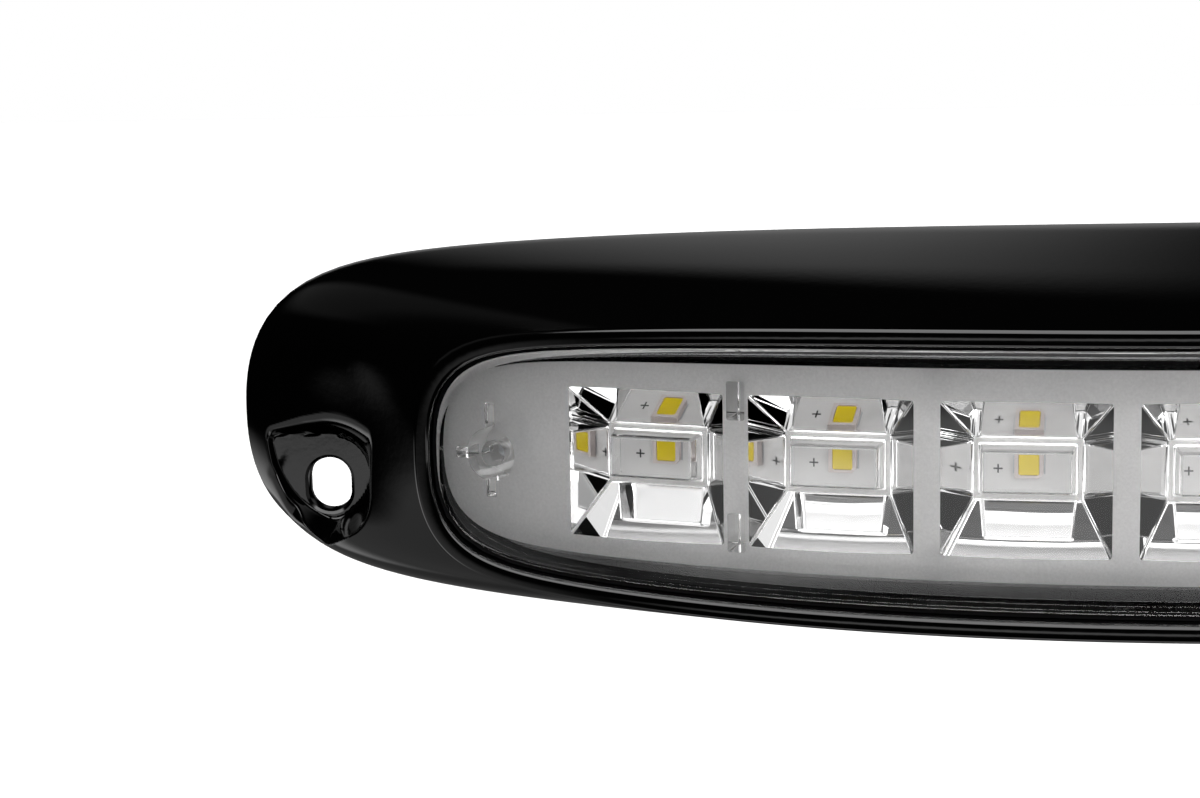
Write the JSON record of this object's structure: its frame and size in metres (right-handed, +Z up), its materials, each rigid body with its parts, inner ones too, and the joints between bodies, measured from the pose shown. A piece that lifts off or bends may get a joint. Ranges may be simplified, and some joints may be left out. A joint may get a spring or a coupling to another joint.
{
  "type": "scene light",
  "caption": "Curved black surface-mounted scene light with a one-piece clear lens over a single row of optics.",
  "frame": {"origin": "centre of the lamp's length on the mounting face, level with the lens's centre line", "axes": "+X along the lamp, +Y into the wall behind the mounting face, +Z up; the light shines to -Y"},
  "size_m": [0.2388, 0.0452, 0.0419],
  "materials": {
    "housing_paint": "gloss black powder coat",
    "lens_clear": "clear polycarbonate with a frosted field",
    "seal_rubber": "matte",
    "board_mask": "white solder mask on an aluminium-core board",
    "led_package": "satin",
    "phosphor": "satin yellow phosphor in silicone",
    "chip_black": "matte moulding compound",
    "thermal_pad": "soft silicone",
    "carrier_metal": "bare milled",
    "screw_steel": "zinc plated",
    "pin_brass": "satin",
    "cover_plastic": "moulded matte",
    "vent_plastic": "porous membrane cap",
    "driver_mask": "green solder mask",
    "coil_black": "shielded ferrite",
    "capacitor_metal": "sleeved can",
    "terminal_green": "moulded"
  },
  "bodies": {
    "root": {"housing": "housing_paint", "lens": "lens_clear", "lens_seal": "seal_rubber", "led_board": "board_mask", "led_1": "led_package", "led_2": "led_package", "led_3": "led_package", "led_4": "led_package", "led_5": "led_package", "led_6": "led_package", "led_7": "led_package", "led_8": "led_package", "led_phosphor": "phosphor", "board_resistors": "chip_black", "thermal_pad": "thermal_pad", "heat_carrier": "carrier_metal", "carrier_screws": "screw_steel", "lens_screws": "screw_steel", "link_pins": "pin_brass", "back_cover": "cover_plastic", "cover_seal": "seal_rubber", "cover_screws": "screw_steel", "cable_grommet": "seal_rubber", "breather_vent": "vent_plastic", "driver_board": "driver_mask", "driver_screws": "screw_steel", "driver_coil": "coil_black", "driver_chip": "chip_black", "driver_diode": "chip_black", "driver_capacitors": "capacitor_metal", "driver_terminal": "terminal_green"}
  },
  "joints": []
}
